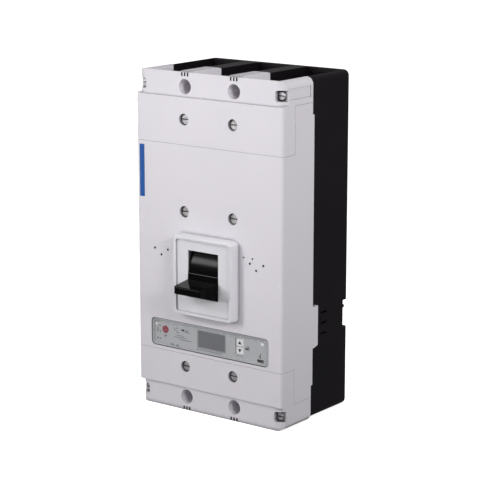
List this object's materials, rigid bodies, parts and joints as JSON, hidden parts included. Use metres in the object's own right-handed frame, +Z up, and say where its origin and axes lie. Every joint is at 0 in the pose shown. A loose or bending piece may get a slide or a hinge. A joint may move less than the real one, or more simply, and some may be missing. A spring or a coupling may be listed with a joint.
{
  "type": "molded case circuit breaker",
  "caption": "Boxy grey circuit breaker for a panel, with recessed terminal compartments top and bottom, a black toggle lever and an electronic trip unit behind a clear window.",
  "frame": {"origin": "centre of the flat back face that lies on the panel, midway between the four mounting holes", "axes": "+X to the right seen from the front, +Y into the panel, +Z up towards the line terminals"},
  "size_m": [0.21, 0.1782, 0.401],
  "materials": {
    "cover_plastic": "fine moulded texture, light grey",
    "base_plastic": "smooth moulded thermoset, near black",
    "lever_plastic": "glossy moulded, black",
    "panel_plastic": "satin moulded, mid grey",
    "clear_window": "clear moulded polycarbonate",
    "display_glass": "dark grey display behind a glossy filter",
    "key_plastic": "satin, white",
    "button_red": "glossy moulded, dark red",
    "accent_blue": "glossy printed, blue",
    "lamp_plastic": "translucent light guides",
    "port_plastic": "moulded, dark grey",
    "zinc_steel": "zinc plated",
    "spring_steel": "bright wire",
    "splitter_steel": "copper-washed sheet",
    "copper": "tin-plated copper",
    "silver_alloy": "silver alloy, ground",
    "shaft_plastic": "moulded thermoset, black",
    "arc_fibre": "vulcanised fibre, red-brown",
    "circuit_board": "solder mask, green",
    "sensor_resin": "potted coils, dark grey"
  },
  "bodies": {
    "housing": {"accent_stripe": "accent_blue", "arc_chute_frame_left": "arc_fibre", "arc_chute_frame_middle": "arc_fibre", "arc_chute_frame_right": "arc_fibre", "base_housing": "base_plastic", "corner_screws": "zinc_steel", "cradle": "zinc_steel", "current_sensors": "sensor_resin", "end_cover_screws": "zinc_steel", "escutcheon": "cover_plastic", "fixed_contacts": "silver_alloy", "flexible_straps": "copper", "line_terminal_left": "copper", "line_terminal_middle": "copper", "line_terminal_right": "copper", "load_terminal_left": "copper", "load_terminal_middle": "copper", "load_terminal_right": "copper", "lower_terminal_cover": "cover_plastic", "main_cover": "cover_plastic", "mechanism_side_plates": "zinc_steel", "middle_cover_screws": "zinc_steel", "splitter_plates_left": "splitter_steel", "splitter_plates_middle": "splitter_steel", "splitter_plates_right": "splitter_steel", "status_lamps": "lamp_plastic", "terminal_bolts": "zinc_steel", "terminal_nuts": "zinc_steel", "terminal_washers": "zinc_steel", "test_port": "port_plastic", "trip_button_spring": "spring_steel", "trip_circuit_board": "circuit_board", "trip_display": "display_glass", "trip_release": "shaft_plastic", "trip_unit_housing": "panel_plastic", "upper_terminal_cover": "cover_plastic"},
    "toggle": {"toggle_handle": "lever_plastic", "handle_shield": "lever_plastic", "toggle_yoke": "zinc_steel", "toggle_springs": "spring_steel"},
    "contact_shaft": {"contact_shaft": "shaft_plastic", "shaft_core": "zinc_steel", "moving_contacts": "silver_alloy", "contact_springs": "spring_steel", "contact_arm_left": "copper", "contact_arm_middle": "copper", "contact_arm_right": "copper"},
    "upper_links": {"upper_links": "zinc_steel"},
    "lower_links": {"lower_links": "zinc_steel"},
    "primary_latch": {"primary_latch": "zinc_steel"},
    "trip_bar": {"trip_bar": "zinc_steel"},
    "release_plunger": {"release_plunger": "shaft_plastic"},
    "trip_button": {"trip_button": "button_red"},
    "up_key": {"up_key": "key_plastic"},
    "down_key": {"down_key": "key_plastic"},
    "enter_key": {"enter_key": "key_plastic"},
    "trip_window": {"trip_window": "clear_window"}
  },
  "joints": [
    {"name": "toggle_hinge", "type": "hinge", "parent": "housing", "child": "toggle", "pos_m": [0, -0.0524, -0.04], "axis": [-1, 0, 0], "range_deg": [0, 19], "deforming": ["toggle_springs"]},
    {"name": "contact_shaft_hinge", "type": "hinge", "parent": "housing", "child": "contact_shaft", "pos_m": [0, -0.04, -0.028], "axis": [-1, 0, 0], "range_deg": [0, 26.02]},
    {"name": "upper_links_hinge", "type": "hinge", "parent": "housing", "child": "upper_links", "pos_m": [0, -0.078, -0.058], "axis": [-1, 0, 0], "range_deg": [0, 21.49]},
    {"name": "lower_links_hinge", "type": "hinge", "parent": "contact_shaft", "child": "lower_links", "pos_m": [0, -0.05941, -0.02316], "axis": [-1, 0, 0], "range_deg": [-47.9, 0]},
    {"name": "primary_latch_hinge", "type": "hinge", "parent": "housing", "child": "primary_latch", "pos_m": [0, -0.098, -0.088], "axis": [1, 0, 0], "range_deg": [0, 10], "stiffness_Nm_per_rad": 0.4, "springref_deg": -20.05},
    {"name": "trip_bar_hinge", "type": "hinge", "parent": "housing", "child": "trip_bar", "pos_m": [0, -0.088, -0.1], "axis": [1, 0, 0], "range_deg": [0, 15], "stiffness_Nm_per_rad": 0.2, "springref_deg": -20.05},
    {"name": "release_plunger_slide", "type": "slide", "parent": "housing", "child": "release_plunger", "axis": [0, 0, 1], "range_m": [0, 0.003], "stiffness_N_per_m": 200, "springref_m": -0.001},
    {"name": "trip_button_press", "type": "slide", "parent": "housing", "child": "trip_button", "axis": [0, 1, 0], "range_m": [0, 0.003], "stiffness_N_per_m": 600, "springref_m": -0.002, "deforming": ["trip_button_spring"]},
    {"name": "up_key_press", "type": "slide", "parent": "housing", "child": "up_key", "axis": [0, 1, 0], "range_m": [0, 0.001], "stiffness_N_per_m": 500, "springref_m": -0.001},
    {"name": "down_key_press", "type": "slide", "parent": "housing", "child": "down_key", "axis": [0, 1, 0], "range_m": [0, 0.001], "stiffness_N_per_m": 500, "springref_m": -0.001},
    {"name": "enter_key_press", "type": "slide", "parent": "housing", "child": "enter_key", "axis": [0, 1, 0], "range_m": [0, 0.001], "stiffness_N_per_m": 500, "springref_m": -0.001},
    {"name": "trip_window_hinge", "type": "hinge", "parent": "housing", "child": "trip_window", "pos_m": [0, -0.1362, -0.0975], "axis": [-1, 0, 0], "range_deg": [0, 105]}
  ],
  "couplings": [
    {"joint": "contact_shaft_hinge", "follows": "toggle_hinge", "ratio": 1.3684},
    {"joint": "upper_links_hinge", "follows": "toggle_hinge", "ratio": 1.1049},
    {"joint": "lower_links_hinge", "follows": "toggle_hinge", "ratio": -2.4946}
  ]
}
